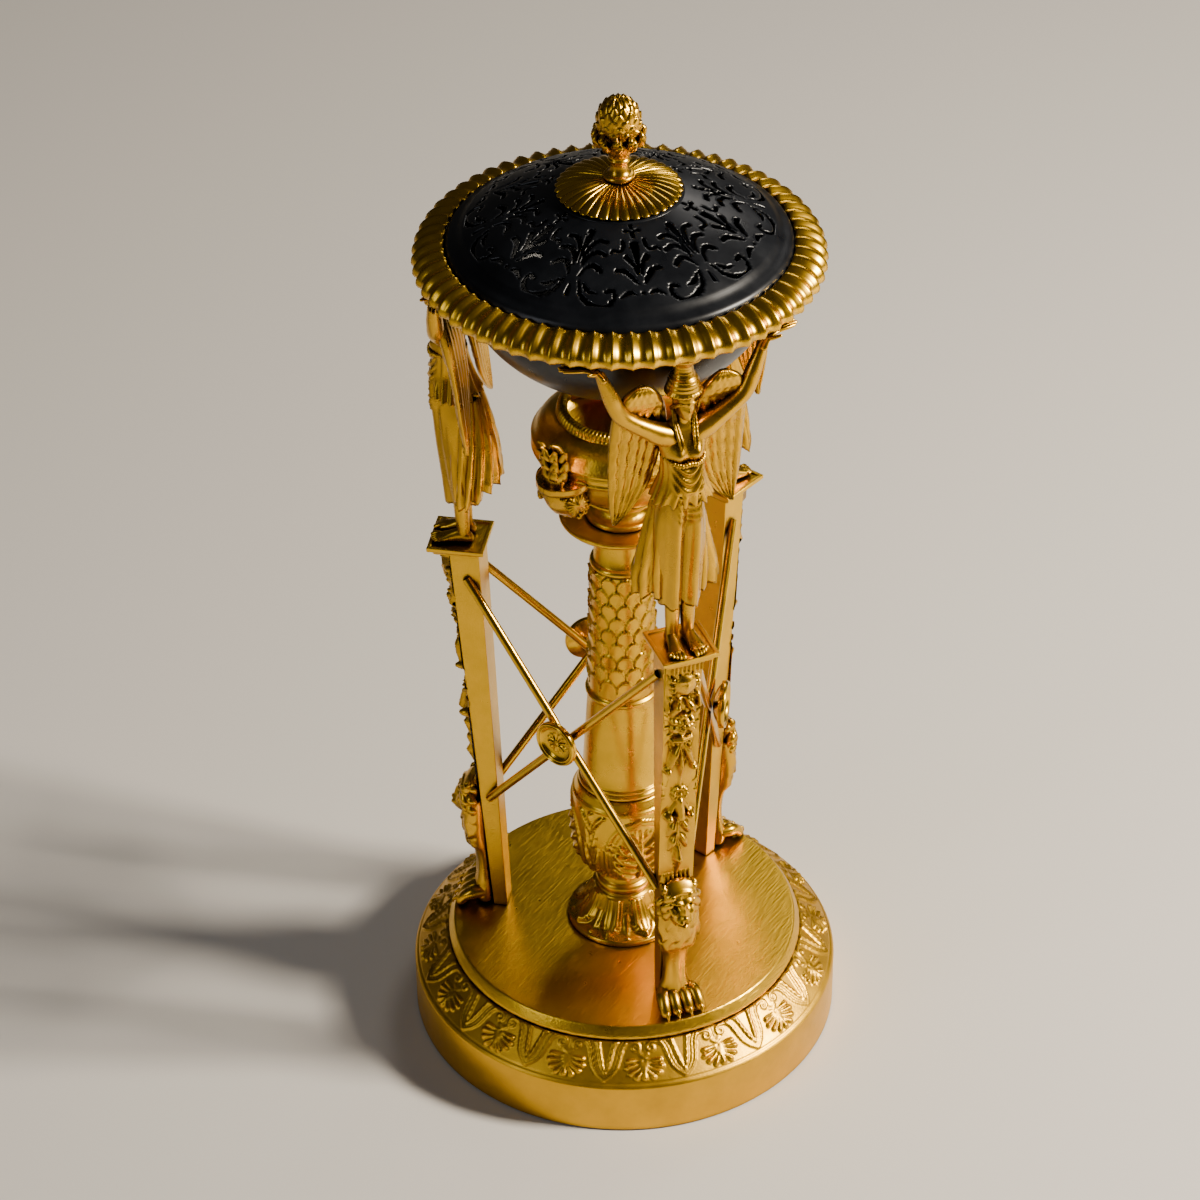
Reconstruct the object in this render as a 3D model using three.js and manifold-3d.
// Athenienne: a gilt and black-patinated bronze perfume burner on its round plinth.
// Three winged women on tapered legs hold up a black bowl with a gadrooned gilt rim,
// and an oil lamp stands on a column between them. Millimetres, +Z up, the origin is
// the middle of the plinth's underside, and the front leg points to -Y.

import * as THREE from 'three';
import { mergeVertices } from 'three/addons/utils/BufferGeometryUtils.js';
import Module from 'manifold-3d';

const wasm = await Module();
wasm.setup();

// Sizes

const gap = 0.3;              // clearance between pieces that rest on or against each other
const sides = 3;              // legs, figures, braces and lamp spouts

const plinth = {
  radius: 105,
  wallHeight: 27.5,           // plain side wall
  friezeInner: 88,            // where the sloped frieze meets the stage
  height: 43,
  repeats: 16,                // lotus leaf and palmette pairs
  relief: 1.0,
  turn: -93.4,                // degrees round to the first leaf
};
const stage = { lowRadius: 87.6, topRadius: 84.6, height: 6.4 };

const leg = {
  topInner: 66, topOuter: 80, topHalfWidth: 9.4,
  footInner: 58.2, footOuter: 65, footHalfWidth: 5.9,
};
const abacus = { radius: 76.4, halfWidth: 13.5, top: 271, thickness: 5 };

const brace = { radius: 2.1, highEnd: 253, lowEnd: 119 };
const lion = { height: 79 };
const roundel = { radius: 11.5, thickness: 3.2, dome: 3.6 };

const column = {
  footRadius: 27.8, footTop: 84,
  vaseRadius: 25.2, vaseTop: 136.5,
  shaftFoot: 21, scalesFoot: 192, scalesTop: 259, neckRadius: 13, top: 288,
};
const dish = { radius: 29, height: 5.2, floor: 3.2 };
const lamp = {
  top: 353, radius: 41, shoulder: 336, collarRadius: 28.6, mouthRadius: 24, wall: 1.8,
};

const figureHeight = 155.7;     // soles to the plate under the rim
const bowl = { radius: 72, depth: 57, wall: 2.5, lipWidth: 4.9, lipHeight: 8 };
const rim = { width: 14.1, height: 11.5, lobes: 64, lobeDepth: 1.5 };
const lid = { wall: 2.2, seatRadius: 28.6, rise: 27.6, roll: 5.2 };
const rosette = { radius: 28, petals: 36, edge: 1.3, rise: 5.8 };
const finial = { ringRadius: 6.7, stemRadius: 3.7, budRadius: 12.2, coneRadius: 9, height: 38.4 };

const radians = THREE.MathUtils.degToRad;
const lerp = THREE.MathUtils.lerp;

// Materials

function metal(colour, roughness) {
  return new THREE.MeshStandardMaterial({ color: colour, roughness, metalness: 1 });
}

const gilt = () => metal('#c8963a', 0.28);
const matteGilt = () => metal('#b98a3c', 0.45);
const blackBronze = () => metal('#17181c', 0.5);

// Solids

// A closed skin over a stack of rings. A ring of one point closes to a tip,
// any other end ring is closed flat, and a looped stack joins its last ring to its first.
function skin(rings, looped = false) {
  const points = [];
  const faces = [];
  const starts = rings.map((ring) => {
    const start = points.length;
    points.push(...ring);
    return start;
  });
  const band = (a, b) => {
    const count = Math.max(rings[a].length, rings[b].length);
    for (let i = 0; i < count; i += 1) {
      const j = (i + 1) % count;
      const [a0, a1] = [i, j].map((n) => starts[a] + (rings[a].length === 1 ? 0 : n));
      const [b0, b1] = [i, j].map((n) => starts[b] + (rings[b].length === 1 ? 0 : n));
      if (a0 !== a1) faces.push([a0, a1, b1]);
      if (b0 !== b1) faces.push([a0, b1, b0]);
    }
  };
  for (let n = 0; n + 1 < rings.length; n += 1) band(n, n + 1);
  if (looped) band(rings.length - 1, 0);
  const cap = (n, reversed) => {
    const ring = rings[n];
    if (ring.length === 1) return;
    const centre = points.length;
    points.push(ring.reduce((sum, p) => sum.add(p), new THREE.Vector3()).divideScalar(ring.length));
    ring.forEach((_, i) => {
      const edge = [starts[n] + i, starts[n] + ((i + 1) % ring.length)];
      faces.push([centre, ...(reversed ? edge.reverse() : edge)]);
    });
  };
  if (!looped) {
    cap(0, true);
    cap(rings.length - 1, false);
  }
  return facingOut(points, faces);
}

// Geometry from points and faces, turned so that every face points outward.
function facingOut(points, faces) {
  const volume = faces.reduce((sum, [a, b, c]) => (
    sum + points[a].dot(new THREE.Vector3().crossVectors(points[b], points[c]))), 0);
  const geometry = new THREE.BufferGeometry();
  geometry.setAttribute('position', new THREE.Float32BufferAttribute(points.flatMap((p) => [...p]), 3));
  geometry.setIndex(faces.flatMap((face) => (volume < 0 ? [...face].reverse() : face)));
  return geometry;
}

// A turned piece: each profile point is [radius, height], and carve may move a point
// of the turned surface by its angle.
function turned(profile, columns, carve = (angle, r, z) => [r, z], looped = false) {
  const rings = profile.map(([r, z], row) => {
    if (r === 0) return [new THREE.Vector3(0, 0, z)];
    return Array.from({ length: columns }, (_, i) => {
      const angle = (2 * Math.PI * i) / columns;
      const [radius, height] = carve(angle, r, z, row);
      return new THREE.Vector3(radius * Math.cos(angle), radius * Math.sin(angle), height);
    });
  });
  return skin(rings, looped);
}

// A limb: oval rings strung along a path of { at, across, along }, where across and
// along are the two half sizes of the ring in the directions given by wide and tall.
function limb(stops, columns, wide, tall) {
  return skin(stops.map(({ at, across, along }) => (
    Array.from({ length: columns }, (_, i) => {
      const angle = (2 * Math.PI * (i + 0.5)) / columns;
      return new THREE.Vector3(...at)
        .addScaledVector(wide, across * Math.cos(angle))
        .addScaledVector(tall, along * Math.sin(angle));
    }))));
}

// A bent limb: each stop is { at, deep, across }, with deep the half size along Y and
// across the half size square to both Y and the way the limb runs.
function bentLimb(stops, columns) {
  return skin(stops.map(({ at, deep, across }, n) => {
    const before = stops[Math.max(n - 1, 0)].at;
    const after = stops[Math.min(n + 1, stops.length - 1)].at;
    const side = new THREE.Vector3().crossVectors(after.clone().sub(before), Y).normalize();
    return Array.from({ length: columns }, (_, i) => {
      const angle = (2 * Math.PI * (i + 0.5)) / columns;
      return at.clone()
        .addScaledVector(Y, deep * Math.cos(angle))
        .addScaledVector(side, across * Math.sin(angle));
    });
  }));
}

const X = new THREE.Vector3(1, 0, 0);
const Y = new THREE.Vector3(0, 1, 0);
const Z = new THREE.Vector3(0, 0, 1);

function toManifold(geometry) {
  const bare = geometry.clone();
  bare.deleteAttribute('normal');
  bare.deleteAttribute('uv');
  const merged = mergeVertices(bare, 1e-5);
  return new wasm.Manifold(new wasm.Mesh({
    numProp: 3,
    vertProperties: new Float32Array(merged.attributes.position.array),
    triVerts: new Uint32Array(merged.index.array),
  }));
}

function fromManifold(solid) {
  const mesh = solid.getMesh();
  const geometry = new THREE.BufferGeometry();
  geometry.setAttribute('position', new THREE.BufferAttribute(new Float32Array(mesh.vertProperties), 3));
  geometry.setIndex(new THREE.BufferAttribute(new Uint32Array(mesh.triVerts), 1));
  return geometry;
}

// Small slivers left where two pieces meet are merged away.
const sliver = 0.1;

function join(geometries) {
  return fromManifold(geometries.map(toManifold).reduce((sum, next) => sum.add(next)).simplify(sliver));
}

function cut(geometry, tool) {
  return fromManifold(toManifold(geometry).subtract(toManifold(tool)).simplify(sliver));
}

function mirrored(geometry) {
  const copy = geometry.clone();
  copy.scale(-1, 1, 1);
  copy.setIndex([...copy.index.array].reverse());
  return copy;
}

const model = new THREE.Group();

function add(name, geometry, material, turn = 0) {
  const mesh = new THREE.Mesh(geometry, material);
  mesh.name = name;
  mesh.rotation.z = radians(turn);
  model.add(mesh);
}

// One copy of a piece for each leg, the first at the front.
function addAround(name, geometry, material, firstTurn = 0) {
  for (let n = 0; n < sides; n += 1) {
    add(`${name}_${n + 1}`, geometry.clone(), material(), firstTurn + (360 / sides) * n);
  }
}

// Plinth and stage

// Height of the frieze relief: a pointed lotus leaf, then a palmette, round each repeat.
function friezeRelief(angle, outward) {
  const step = (2 * Math.PI) / plinth.repeats;
  const share = (((angle - radians(plinth.turn)) / step) % 1 + 1) % 1;
  const fromLeaf = Math.min(share, 1 - share) * 2;
  const leafHalf = 0.62 * Math.sqrt(Math.max(0, 1 - outward));
  const palmette = Math.max(0, 1 - Math.abs(outward - 0.45) * 2.2) * 0.8;
  if (fromLeaf < leafHalf) return plinth.relief;
  return fromLeaf > 0.7 ? plinth.relief * palmette : 0;
}

function plinthSolid() {
  const { radius, wallHeight, friezeInner, height } = plinth;
  const slope = (share) => [lerp(radius, friezeInner, share), lerp(wallHeight, height - gap, share)];
  const slopes = [slope(0.3), slope(0.7), slope(1)];
  const profile = [[0, 0], [radius, 0], [radius, wallHeight], ...slopes, [0, height - gap]];
  const solid = turned(profile, plinth.repeats * 4, (angle, r, z, row) => {
    const onFrieze = row === 3 || row === 4;
    const outward = (r - friezeInner) / (radius - friezeInner);
    return [r, onFrieze ? z + friezeRelief(angle + radians(plinth.turn), outward) : z];
  });
  return solid.rotateZ(radians(plinth.turn));
}

function stageSolid() {
  const { lowRadius, topRadius, height } = stage;
  const low = plinth.height;
  return turned([[0, low], [lowRadius, low], [topRadius, low + height], [0, low + height]], 48);
}

// Legs

const stageTop = plinth.height + stage.height;
const legTop = abacus.top - abacus.thickness - gap;
const legFoot = stageTop + gap;

// The leg's section at a height: its inner and outer faces and its half width.
function legAt(z) {
  const share = (z - legFoot) / (legTop - legFoot);
  return {
    inner: lerp(leg.footInner, leg.topInner, share),
    outer: lerp(leg.footOuter, leg.topOuter, share),
    half: lerp(leg.footHalfWidth, leg.topHalfWidth, share),
  };
}

function legSolid() {
  const ring = (z) => {
    const { inner, outer, half } = legAt(z);
    return [[-half, -outer], [half, -outer], [half, -inner], [-half, -inner]]
      .map(([x, y]) => new THREE.Vector3(x, y, z));
  };
  return skin([ring(legFoot), ring(legTop)]);
}

// A square moulded plate with a sunk field on top.
function abacusSolid() {
  const { halfWidth, thickness, radius, top } = abacus;
  const steps = [[0.8, -thickness], [0.84, -thickness + 1.4], [1, -1.8], [1, 0], [0.86, 0], [0.83, -0.7]];
  const rings = steps.map(([share, drop]) => {
    const h = halfWidth * share;
    return [[-h, -h], [h, -h], [h, h], [-h, h]]
      .map(([x, y]) => new THREE.Vector3(x, y - radius, top + drop));
  });
  return skin(rings);
}

// Mounts on the outer face of a leg

// A point on the leg's outer face: across it, out from it, at a height.
function onFace(x, out, z) {
  return [x, -(legAt(z).outer + out), z];
}

// A height on the leg as a share of its length from the foot.
const upLeg = (share) => lerp(legFoot, legTop, share);

const upTheFace = new THREE.Vector3(0, -(leg.topOuter - leg.footOuter), legTop - legFoot).normalize();

// A rosette, bud or boss lying on the leg's face.
function boss(height, wide, tall, depth, columns = 6) {
  const stop = (out, share) => (
    { at: onFace(0, out, upLeg(height)), across: wide * share, along: tall * share });
  return limb([stop(gap, 1), stop(depth, 0.6)], columns, X, upTheFace);
}

// A pair of leaves that grow from the stem, out to both sides and up or down.
function sprigs(height, reach, rise, half) {
  const stop = (share, size) => ({
    at: onFace(reach * share, 1.35, upLeg(height) + rise * Math.abs(share)), across: size, along: half,
  });
  return limb([stop(-1, 0.9), stop(0, 0.9), stop(1, 0.9)], 4, Y, Z);
}

function mountSolid() {
  const low = upLeg(0.367);
  const high = legTop - 0.6;
  const middle = upLeg(0.946);
  const stem = skin([low, high].map((z) => (
    [[-1.3, 0.5], [1.3, 0.5], [1.3, 2.2], [-1.3, 2.2]].map(
      ([x, out]) => new THREE.Vector3(...onFace(x, out, z))))));
  const mask = limb([
    { at: onFace(0, gap, middle), across: 8.2, along: 9.5 },
    { at: onFace(0, 3.6, middle + 0.5), across: 8.4, along: 9.5 },
    { at: onFace(0, 6.6, middle), across: 4.4, along: 6.2 },
  ], 6, X, upTheFace);
  return join([stem, mask, boss(0.816, 6.2, 6.6, 3.8), boss(0.617, 4.8, 4.6, 2.8), boss(0.381, 5.6, 2.6, 2.2),
    sprigs(0.881, 7.2, -3.2, 1.8), sprigs(0.7236, 5.4, -6, 1.8), sprigs(0.557, 6, -3.5, 1.6),
    sprigs(0.483, 4.6, -8, 1.6)]);
}

// A lion's head and foreleg ending in a clawed paw, in front of the leg's foot.
// Its sizes are those of a foot 79 high: across, out from the leg's foot, and up.
function lionSolid() {
  const k = lion.height / 79;
  const upAt = (up) => legFoot + up * k;
  const outAt = (out) => leg.footOuter + out * k;
  const ring = (up, half, front, count = 6) => (
    Array.from({ length: count }, (_, i) => {
      const angle = (2 * Math.PI * (i + 0.5)) / count;
      const back = legAt(upAt(up)).outer + gap;
      const deep = (outAt(front) - back) / 2;
      return new THREE.Vector3(half * k * Math.cos(angle), -(back + deep + deep * Math.sin(angle)), upAt(up));
    }));
  const foreleg = skin([ring(3, 8, 11), ring(22, 6.4, 8.5), ring(46, 10, 12.5), ring(60, 9, 13.5)]);
  const mane = skin([ring(56, 7, 14), ring(67, 11.4, 16), ring(79, 7, 12)]);
  const oval = (x, out, up, across, along) => (
    { at: [x * k, -outAt(out), upAt(up)], across: across * k, along: along * k });
  const muzzle = limb([oval(0, 13, 66, 6.4, 6.8), oval(0, 19.5, 63.5, 3.4, 3.2)], 6, X, Z);
  const toe = (x, turn) => limb([
    oval(x * 0.7, 3, 4.4, 3, 4.4), oval(x, 12, 4.6, 3.4, 4.6), oval(x + turn, 18.5, 2, 2, 2),
  ], 4, X, Z);
  return join([foreleg, mane, muzzle, toe(-8, -1.6), toe(-2.8, -0.6), toe(2.8, 0.6), toe(8, 1.6)]);
}

// Braces

// The side face of a leg that looks toward the next gap, as a plane moved out by the clearance.
function sideFace(azimuth, towards) {
  const turn = new THREE.Matrix4().makeRotationZ(azimuth);
  const corner = (z, key) => {
    const section = legAt(z);
    return new THREE.Vector3(towards * section.half, -section[key], z).applyMatrix4(turn);
  };
  const plane = new THREE.Plane().setFromCoplanarPoints(
    corner(legFoot, 'inner'), corner(legFoot, 'outer'), corner(legTop, 'inner'));
  if (plane.distanceToPoint(new THREE.Vector3(0, 0, 0).applyMatrix4(turn)
    .add(new THREE.Vector3(towards * 50, -70, 150).applyMatrix4(turn))) < 0) plane.negate();
  plane.constant -= gap;
  return plane;
}

function sideMiddle(azimuth, towards, z) {
  const { inner, outer, half } = legAt(z);
  return new THREE.Vector3(towards * half, -(inner + outer) / 2, z)
    .applyMatrix4(new THREE.Matrix4().makeRotationZ(azimuth));
}

// The two ends of a brace rod in the gap between the front leg and the next one.
function rodEnds(highOnFront) {
  const next = radians(360 / sides);
  const [frontZ, nextZ] = highOnFront ? [brace.highEnd, brace.lowEnd] : [brace.lowEnd, brace.highEnd];
  return {
    from: sideMiddle(0, 1, frontZ), to: sideMiddle(next, -1, nextZ),
    fromFace: sideFace(0, 1), toFace: sideFace(next, -1),
  };
}

// A round rod whose ends lie on the two faces that it meets.
function rod({ from, to, fromFace, toFace }, radius, columns = 6) {
  const axis = to.clone().sub(from).normalize();
  const across = new THREE.Vector3().crossVectors(axis, Z).normalize();
  const upward = new THREE.Vector3().crossVectors(across, axis);
  const end = (face) => Array.from({ length: columns }, (_, i) => {
    const angle = (2 * Math.PI * (i + 0.5)) / columns;
    const start = from.clone()
      .addScaledVector(across, radius * Math.cos(angle))
      .addScaledVector(upward, radius * Math.sin(angle));
    const travel = -face.distanceToPoint(start) / face.normal.dot(axis);
    return start.addScaledVector(axis, travel);
  });
  return skin([end(fromFace), end(toFace)]);
}

// The middle of the crossing, and the way out of the gap through it.
function crossing() {
  const [a, b] = [rodEnds(true), rodEnds(false)];
  const way = new THREE.Vector3(Math.sin(Math.PI / sides), -Math.cos(Math.PI / sides), 0);
  const middle = [a.from, a.to, b.from, b.to]
    .reduce((sum, p) => sum.add(p), new THREE.Vector3()).divideScalar(4);
  return { middle, way };
}

// Each rod keeps half its thickness where the other crosses it.
function halvedRod(highOnFront) {
  const { middle, way } = crossing();
  const keepsOutside = highOnFront ? 1 : -1;
  const blockDepth = 20;
  const block = new THREE.BoxGeometry(60, 60, blockDepth);
  block.lookAt(way);
  const centre = middle.clone().addScaledVector(way, -keepsOutside * (blockDepth / 2 - gap / 2));
  block.translate(...centre);
  const other = toManifold(rod(rodEnds(!highOnFront), (brace.radius + gap) * Math.SQRT2, 4));
  const notch = other.intersect(toManifold(block));
  return fromManifold(toManifold(rod(rodEnds(highOnFront), brace.radius)).subtract(notch).simplify(sliver));
}

// A dished disc with a moulded edge and a daisy in its field, domed behind.
function roundelSolid() {
  const { radius, thickness, dome } = roundel;
  const { middle, way } = crossing();
  const profile = [[0, 0], [radius * 0.5, 0.6], [radius, dome + 0.4], [radius, dome + thickness - 1],
    [radius * 0.88, dome + thickness], [radius * 0.6, dome + 1.2], [0, dome + 2.4]];
  const disc = turned(profile, 12);
  disc.lookAt(way);
  const back = middle.clone().addScaledVector(way, brace.radius + gap);
  return disc.translate(...back);
}

// Column

// Eight lotus leaves hang over the bell of the foot.
function footSolid() {
  const low = stageTop + gap;
  const { footRadius, footTop } = column;
  const profile = [[0, low], [footRadius, low], [footRadius, low + 2.4], [24.6, low + 3.6], [19.5, low + 8],
    [15, low + 16.5], [12.2, low + 20.5], [13.6, low + 24], [11.4, low + 29], [14.4, footTop], [0, footTop]];
  const leaves = 8;
  return turned(profile, leaves * 2, (angle, r, z, row) => {
    const leaf = Math.abs(Math.cos((leaves / 2) * angle));
    return [row === 4 || row === 5 ? r + 1.4 * leaf : r, z];
  });
}

function vaseSolid() {
  const low = column.footTop + gap;
  const top = column.vaseTop;
  const R = column.vaseRadius;
  const profile = [[0, low], [R * 0.57, low], [R * 0.74, low + 2.6], [R * 0.9, low + 9], [R * 0.97, low + 18],
    [R, low + 30], [R * 0.985, top - 12], [R * 0.86, top], [0, top]];
  return turned(profile, 24, (angle, r, z, row) => {
    const fromArch = Math.abs(Math.sin(1.5 * (angle - radians(270))));
    const height = (z - low) / (top - low);
    const underArch = fromArch < 0.95 - 0.75 * height * height && row >= 3 && row <= 6;
    return [underArch ? r - 0.7 : r, z];
  });
}

// The shaft tapers up to a ring, and rows of round-topped scales cover its upper part.
function shaftSolid() {
  const low = column.vaseTop + gap;
  const { shaftFoot, scalesFoot, scalesTop, neckRadius, top } = column;
  const rows = 6;
  const scaleRows = Array.from({ length: rows + 1 }, (_, n) => (
    [lerp(16, 14.1, n / rows), lerp(scalesFoot + 3, scalesTop, n / rows)]));
  const firstScale = 6;
  const profile = [[0, low], [shaftFoot + 0.7, low], [shaftFoot + 0.7, low + 2.6], [shaftFoot - 0.9, low + 4],
    [16.7, scalesFoot - 2], [17.8, scalesFoot], ...scaleRows, [15, scalesTop + 3], [neckRadius, scalesTop + 5],
    [neckRadius, top], [0, top]];
  const around = 8;
  return turned(profile, around * 2, (angle, r, z, row) => {
    const onScales = row > firstScale && row < firstScale + rows;
    const ridge = Math.cos(around * angle + Math.PI * row);
    return [onScales ? r + 0.35 * ridge : r, z];
  });
}

// Lamp and its dish

function dishSolid() {
  const low = column.top + gap;
  const { radius, height, floor } = dish;
  return turned([[0, low], [column.neckRadius + 1, low], [radius - 2.4, low + 1.4], [radius, low + 3],
    [radius - 0.8, low + height], [radius - 2.6, low + floor], [0, low + floor]], 18);
}

const lampColumns = 18;
const lampLow = column.top + gap + dish.floor + gap;

// The lamp's outer profile, from its foot up to the collar, let out by a clearance.
function lampOutside(clearance = 0) {
  const { top, radius, shoulder, collarRadius } = lamp;
  const low = lampLow;
  return [[0, low], [16.5, low], [16.5, low + 2.6], [11, low + 9], [20.2, low + 14.4], [20.2, low + 16.6],
    [33.5, low + 27], [radius, shoulder - 1], [radius - 0.6, shoulder + 3],
    [collarRadius + 5.5, shoulder + 11],
    [collarRadius, top - 3.4], [collarRadius, top]].map(([r, z]) => [r === 0 ? 0 : r + clearance, z]);
}

function lampSolid() {
  const low = lampLow;
  const { top, radius, shoulder, collarRadius, mouthRadius, wall } = lamp;
  const inside = [[mouthRadius, top], [mouthRadius, top - 3.8], [collarRadius + 4.4, shoulder + 9.2],
    [radius - wall, shoulder], [0, low + 19]];
  return turned([...lampOutside(), ...inside], lampColumns);
}

// A lamp nozzle: a flat tray with an acanthus leaf above and a curly head below.
function spoutSolid() {
  const z = lamp.shoulder - 4;
  const wallAt = lamp.radius + gap;
  const tray = skin([[wallAt - 4.5, 12.5], [wallAt + 4, 11.5], [wallAt + 10, 7.2], [wallAt + 12.5, 3]]
    .map(([r, half]) => ([[-half, z - 1.6], [half, z - 1.6], [half, z + 1.6], [-half, z + 1.6]]
      .map(([x, height]) => new THREE.Vector3(x, -r, height)))));
  const leaf = limb([
    { at: [0, -(wallAt + 5), z + 1], across: 6.4, along: 3.4 },
    { at: [0, -(wallAt + 2), z + 12], across: 7.6, along: 3.4 },
    { at: [0, -(wallAt + 1), z + 20], across: 2.6, along: 1.6 },
  ], 6, X, Y);
  const head = limb([
    { at: [0, -(wallAt + 2), z - 0.8], across: 8.6, along: 7.4 },
    { at: [0, -(wallAt + 0.5), z - 9], across: 9, along: 7.4 },
    { at: [0, -(wallAt - 8), z - 23], across: 2.4, along: 2.8 },
  ], 8, X, Y);
  const room = turned([...lampOutside(1.5 * gap), [0, lamp.top]], lampColumns);
  return cut(join([tray, leaf, head]), room);
}

// Figures

const figureFoot = abacus.top + gap;

// Sizes inside a figure are shares of its height, measured from the middle of its abacus:
// x to its left hand, y to its back, z up from its soles.
function place(x, y, z) {
  return new THREE.Vector3(x * figureHeight, y * figureHeight - abacus.radius, figureFoot + z * figureHeight);
}

function ovalRing({ z, half, front, back, fold = 0 }, columns) {
  return Array.from({ length: columns }, (_, i) => {
    const angle = (2 * Math.PI * (i + 0.5)) / columns;
    const swell = 1 + fold * (i % 2 ? 1 : -1);
    const depth = Math.sin(angle) > 0 ? front : back;
    return place(half * swell * Math.cos(angle), -depth * swell * Math.sin(angle), z);
  });
}

// The long dress from hem to shoulders, with deeper folds low down and a flared overfold.
function dress() {
  const stops = [
    { z: 0.135, half: 0.086, front: 0.020, back: 0.106, fold: 0.09 },
    { z: 0.240, half: 0.104, front: 0.032, back: 0.136, fold: 0.09 },
    { z: 0.360, half: 0.090, front: 0.044, back: 0.122, fold: 0.07 },
    { z: 0.490, half: 0.070, front: 0.056, back: 0.074, fold: 0.03 },
    { z: 0.492, half: 0.084, front: 0.066, back: 0.084, fold: 0.06 },
    { z: 0.610, half: 0.053, front: 0.056, back: 0.038, fold: 0 },
    { z: 0.695, half: 0.064, front: 0.064, back: 0.032, fold: 0 },
    { z: 0.755, half: 0.070, front: 0.036, back: 0.030, fold: 0 },
    { z: 0.788, half: 0.024, front: 0.024, back: 0.010, fold: 0 },
  ];
  return skin(stops.map((stop) => ovalRing(stop, 12)));
}

// Head, tall tapering cap and the small plate that takes the rim.
function headAndCap() {
  const middle = -0.018;
  const stops = [[0.780, 0.021, 0.022], [0.797, 0.023, 0.026], [0.812, 0.031, 0.040], [0.850, 0.037, 0.044],
    [0.868, 0.049, 0.053], [0.893, 0.046, 0.048], [0.930, 0.031, 0.032], [0.973, 0.027, 0.027],
    [0.978, 0.060, 0.060], [1, 0.060, 0.060]];
  return skin(stops.map(([z, half, deep]) => (
    Array.from({ length: 8 }, (_, i) => {
      const angle = (2 * Math.PI * (i + 0.5)) / 8;
      return place(half * Math.cos(angle), middle + deep * Math.sin(angle), z);
    }))));
}

// A raised arm with an open hand, palm up, its fingers along the underside of the rim.
function arm() {
  const stops = [[0.055, -0.004, 0.745, 0.026, 0.028], [0.118, -0.012, 0.772, 0.024, 0.024],
    [0.180, -0.008, 0.806, 0.023, 0.023], [0.212, -0.004, 0.885, 0.019, 0.020],
    [0.238, 0.001, 0.965, 0.016, 0.016],
    [0.272, 0.010, 0.988, 0.026, 0.010], [0.345, 0.044, 0.993, 0.012, 0.006]];
  return bentLimb(stops.map(([x, y, z, deep, across]) => (
    { at: place(x, y, z), deep: deep * figureHeight, across: across * figureHeight })), 4);
}

// A folded wing: a rounded shoulder above, then long feathers side by side down to the thigh.
function wing() {
  const stops = [
    { z: 0.905, inner: 0.105, outer: 0.150, y: 0.000, thick: 0.012 },
    { z: 0.860, inner: 0.062, outer: 0.186, y: 0.010, thick: 0.020 },
    { z: 0.760, inner: 0.040, outer: 0.204, y: 0.032, thick: 0.016 },
    { z: 0.540, inner: 0.112, outer: 0.202, y: 0.058, thick: 0.010 },
    { z: 0.440, inner: 0.160, outer: 0.188, y: 0.070, thick: 0.006 },
  ];
  const feathers = 3;
  return skin(stops.map(({ z, inner, outer, y, thick }) => {
    const front = Array.from({ length: feathers * 2 - 1 }, (_, i) => {
      const share = i / (feathers * 2 - 2);
      return place(lerp(inner, outer, share), y - thick * (i % 2 ? 0.35 : 1), z);
    });
    const back = [1, 0].map((share) => place(lerp(inner, outer, share), y + thick * 0.6, z));
    return [...front, ...back];
  }));
}

function legAndFoot() {
  const shin = skin([[0.15, 0.021, 0.010], [0.02, 0.018, 0.014]].map(([z, r, y]) => (
    Array.from({ length: 5 }, (_, i) => {
      const angle = (2 * Math.PI * i) / 5;
      return place(0.028 + r * Math.cos(angle), y + r * 1.1 * Math.sin(angle), z);
    }))));
  const foot = skin([[0.040, 0.014, 0.030], [-0.030, 0.022, 0.030], [-0.088, 0.018, 0.012]]
    .map(([y, half, high]) => [[-half, 0], [half, 0], [half * 0.7, high], [-half * 0.7, high]]
      .map(([x, z]) => place(0.030 + x, y, z))));
  return [shin, foot];
}

function figureSolid() {
  const oneSide = [arm(), wing(), ...legAndFoot()];
  const body = join([dress(), headAndCap(), ...oneSide, ...oneSide.map(mirrored)]);
  return cut(body, turned([...bowlOutside(gap), [0, lipBottom]], bowlColumns));
}

// Rim, bowl, lid and finial

// Wide rounded lobes with a narrow valley between each two.
const rimLow = figureFoot + figureHeight + gap;
const lipRadius = bowl.radius + bowl.lipWidth;

function rimSolid() {
  const { width, height, lobes, lobeDepth } = rim;
  const inner = lipRadius + gap;
  const outer = inner + width;
  const low = rimLow;
  const high = low + height;
  const profile = [[inner, low], [outer - 1.4, low + 1.2], [outer - 0.4, high - 4.4], [inner, high]];
  return turned(profile, lobes * 2, (angle, r, z, row) => {
    const depth = lobeDepth * (0.5 - 0.5 * Math.cos(lobes * angle));
    const inward = row === 1 || row === 2 ? depth : 0;
    const drop = row >= 2 ? depth * 0.7 : 0;
    return [r - inward, z - drop];
  }, true);
}

const bowlColumns = 24;
const lipBottom = rimLow + gap;
const lipTop = lipBottom + bowl.lipHeight;

// Half an oval from the bottom of the bowl up to its lip.
function bowlCurve(r, depth, steps = [0.25, 0.5, 0.77, 1]) {
  return [[0, lipBottom - depth], ...steps.map((share) => [
    r * Math.sin((share * Math.PI) / 2),
    lipBottom - depth * Math.cos((share * Math.PI) / 2),
  ])];
}

function bowlOutside(clearance = 0) {
  return bowlCurve(bowl.radius + clearance, bowl.depth + clearance);
}

function bowlSolid() {
  const { radius, depth, wall } = bowl;
  const inside = bowlCurve(radius - wall, depth - wall, [0.3, 0.65, 1]).reverse();
  return turned([...bowlOutside(), [lipRadius, lipBottom], [lipRadius, lipTop],
    [radius - wall, lipTop], ...inside], bowlColumns);
}

const lidTop = lipTop + lid.rise;

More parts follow.
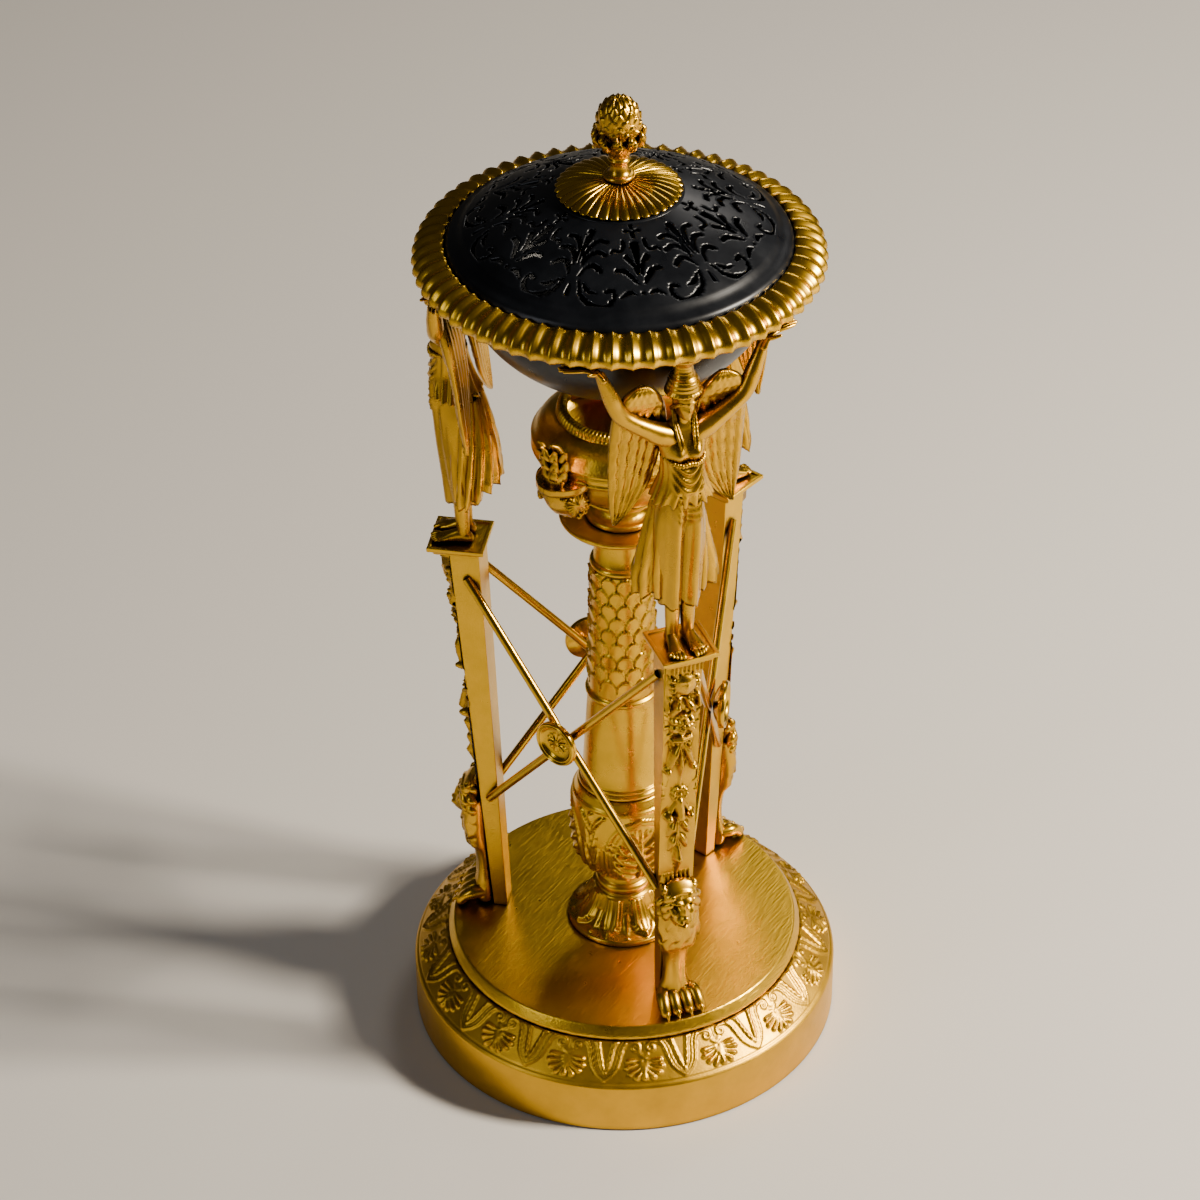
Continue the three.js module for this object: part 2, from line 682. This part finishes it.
// The dome's curve from the rolled edge up to the rosette's seat, dropped by the wall inside.
function lidSolid() {
  const low = lipTop + gap;
  const edge = lipRadius - 0.4;
  const rollTop = lipTop + lid.roll;
  const { wall, seatRadius } = lid;
  const dome = (inward, up) => [lerp(edge, seatRadius, inward), lerp(rollTop, lidTop, up)];
  const under = ([r, z]) => [r, z - wall * 1.15];
  const [outer, middle, inner] = [dome(0.136, 0.17), dome(0.345, 0.42), dome(0.658, 0.741)];
  const outside = [[0, lidTop], [seatRadius, lidTop], inner, middle, outer,
    [edge - 1.6, rollTop], [edge, low + 2.2], [edge - 0.6, low]];
  const inside = [[edge - 3.4, low], under(middle), under(inner),
    [seatRadius, lidTop - wall], [0, lidTop - wall]];
  return turned([...outside, ...inside], 24);
}

const crown = lidTop + gap + rosette.rise;

function rosetteSolid() {
  const low = lidTop + gap;
  const { radius, petals, edge } = rosette;
  const profile = [[0, low], [radius, low + edge], [finial.ringRadius + 1, crown], [0, crown]];
  return turned(profile, petals * 2, (angle, r, z, row) => {
    const valley = 0.5 - 0.5 * Math.cos(petals * angle);
    return row === 1 ? [r - 0.9 * valley, z - 0.6 * valley] : [r, z];
  });
}

// A pine cone in a ring of curled buds, on a waisted stem, in shares of the finial's height.
function finialSolid() {
  const { ringRadius, stemRadius, budRadius, coneRadius, height } = finial;
  const at = (share) => crown + gap + height * share;
  const coneFoot = 0.557;
  const cone = [0.12, 0.34, 0.56, 0.76, 0.92].map((share) => (
    [coneRadius * Math.sqrt(Math.sin(Math.PI * (0.25 + share * 0.72))), at(lerp(coneFoot, 1, share))]));
  const profile = [[0, at(0)], [ringRadius, at(0)], [ringRadius, at(0.0625)], [stemRadius + 0.6, at(0.104)],
    [stemRadius, at(0.182)], [stemRadius + 1, at(0.247)],
    [budRadius * 0.656, at(0.404)], [budRadius, at(0.505)],
    [budRadius - 1, at(coneFoot + 0.042)], ...cone, [0, at(1)]];
  return turned(profile, 16, (angle, r, z, row) => {
    const onBuds = row >= 6 && row <= 8;
    const onCone = row > 8;
    const ridge = Math.cos(8 * angle + Math.PI * row);
    const swell = (onBuds ? 0.07 : 0) + (onCone ? 0.045 : 0);
    return [r * (1 + swell * ridge), z];
  });
}

// The model

add('plinth', plinthSolid(), gilt());
add('stage_disc', stageSolid(), gilt());
addAround('leg', legSolid(), gilt);
addAround('abacus', abacusSolid(), gilt);
addAround('leg_mount', mountSolid(), matteGilt);
addAround('lion_foot', lionSolid(), matteGilt);
addAround('brace_rod_outer', halvedRod(true), gilt);
addAround('brace_rod_inner', halvedRod(false), gilt);
addAround('roundel', roundelSolid(), gilt);
add('column_foot', footSolid(), matteGilt());
add('column_vase', vaseSolid(), gilt());
add('column_shaft', shaftSolid(), gilt());
add('drip_dish', dishSolid(), gilt());
add('lamp_body', lampSolid(), gilt());
addAround('lamp_spout', spoutSolid(), matteGilt, 180 / sides);
addAround('winged_figure', figureSolid(), matteGilt);
add('rim', rimSolid(), gilt());
add('bowl', bowlSolid(), blackBronze());
add('lid', lidSolid(), blackBronze());
add('lid_rosette', rosetteSolid(), gilt());
add('finial', finialSolid(), matteGilt());

export default model;
